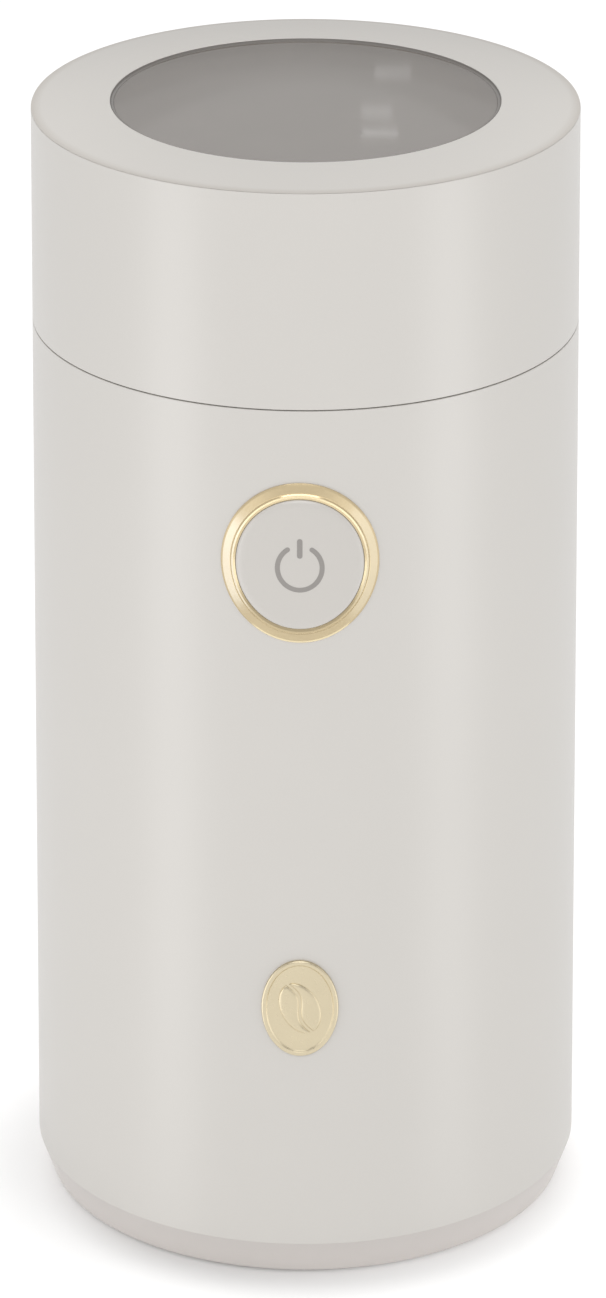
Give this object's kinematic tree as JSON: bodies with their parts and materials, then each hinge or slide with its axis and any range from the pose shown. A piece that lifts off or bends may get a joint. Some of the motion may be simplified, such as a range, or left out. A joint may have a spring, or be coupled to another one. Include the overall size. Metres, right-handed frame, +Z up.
{
  "type": "electric coffee grinder",
  "caption": "Tall round electric blade coffee grinder with a lift-off lid, smoky window, ringed push button, grinding bowl and motor inside a plain cylindrical shell.",
  "frame": {"origin": "centre of the circle that the four feet stand on, on the table's surface", "axes": "+Z up along the grinder's axis, -Y towards the front with the push button, +X to the right seen from the front"},
  "size_m": [0.0926, 0.0936, 0.1924],
  "materials": {
    "cream_shell": "satin, fine pearl grain",
    "cream_button": "satin",
    "gold_trim": "satin champagne plating",
    "smoky_window": "clear smoky plastic, polished",
    "rim_plastic": "gloss",
    "grey_plastic": "fine moulded texture",
    "inner_plastic": "moulded",
    "base_plastic": "fine moulded texture",
    "rubber_grey": "matte",
    "rubber_black": "matte",
    "silicone": "soft, slightly clear",
    "stainless": "brushed round the bowl",
    "blade_steel": "ground",
    "zinc_steel": "zinc plated",
    "shaft_steel": "ground",
    "lamination": "stacked sheets",
    "copper": "enamelled wire",
    "bronze": "sintered",
    "brass": "drawn",
    "carbon": "dull",
    "board": "solder mask",
    "switch_plastic": "moulded",
    "capacitor_yellow": "gloss",
    "terminal_white": "moulded",
    "wire_sleeve": "soft sleeve",
    "fan_plastic": "moulded"
  },
  "bodies": {
    "housing": {"body_sleeve": "cream_shell", "base_plate": "base_plastic", "rubber_feet": "rubber_grey", "base_screws": "zinc_steel", "cord_gland": "rubber_grey", "button_ring": "gold_trim", "button_holder": "inner_plastic", "switch_board": "board", "power_switch": "switch_plastic", "button_spring": "zinc_steel", "holder_screws": "zinc_steel", "badge_plate": "gold_trim", "inner_housing": "inner_plastic", "bowl_gasket": "silicone", "grinding_bowl": "stainless", "top_collar": "grey_plastic", "collar_screws": "zinc_steel", "interlock_spring": "zinc_steel", "interlock_switch": "switch_plastic", "stator_core": "lamination", "field_coils": "copper", "upper_bracket": "inner_plastic", "lower_bracket": "inner_plastic", "upper_bush": "bronze", "lower_bush": "bronze", "motor_bolts": "zinc_steel", "motor_nuts": "zinc_steel", "motor_dampers": "rubber_black", "motor_screws": "zinc_steel", "brush_holders": "brass", "carbon_brushes": "carbon", "brush_springs": "zinc_steel", "shaft_seal": "rubber_black", "terminal_block": "terminal_white", "suppressor_capacitor": "capacitor_yellow", "lead_wires": "wire_sleeve"},
    "lid": {"lid_sleeve": "cream_shell", "lid_cap": "cream_shell", "lid_window": "smoky_window", "window_rim": "rim_plastic", "lid_seal": "silicone"},
    "button": {"button_cap": "cream_button", "switch_plunger": "switch_plastic"},
    "interlock": {"interlock_pin": "grey_plastic"},
    "rotor": {"motor_shaft": "shaft_steel", "armature_core": "lamination", "armature_winding": "copper", "commutator": "copper", "thrust_washers": "carbon", "cooling_fan": "fan_plastic", "blade_hub": "stainless", "grinding_blade": "blade_steel", "blade_nut": "blade_steel"}
  },
  "joints": [
    {"name": "lid_lift", "type": "slide", "parent": "housing", "child": "lid", "axis": [0, 0, 1], "range_m": [0, 0.08]},
    {"name": "button_press", "type": "slide", "parent": "housing", "child": "button", "axis": [0, 1, 0], "range_m": [0, 0.0015], "stiffness_N_per_m": 800, "springref_m": -0.003, "deforming": ["button_spring"]},
    {"name": "rotor_spin", "type": "hinge", "parent": "housing", "child": "rotor", "pos_m": [0, 0, 0.07], "axis": [0, 0, 1], "continuous": true},
    {"name": "interlock_slide", "type": "slide", "parent": "housing", "child": "interlock", "axis": [0, 0, 1], "range_m": [0, 0.002], "deforming": ["interlock_spring"]}
  ],
  "couplings": [
    {"joint": "interlock_slide", "follows": "lid_lift", "ratio": 0.025}
  ]
}
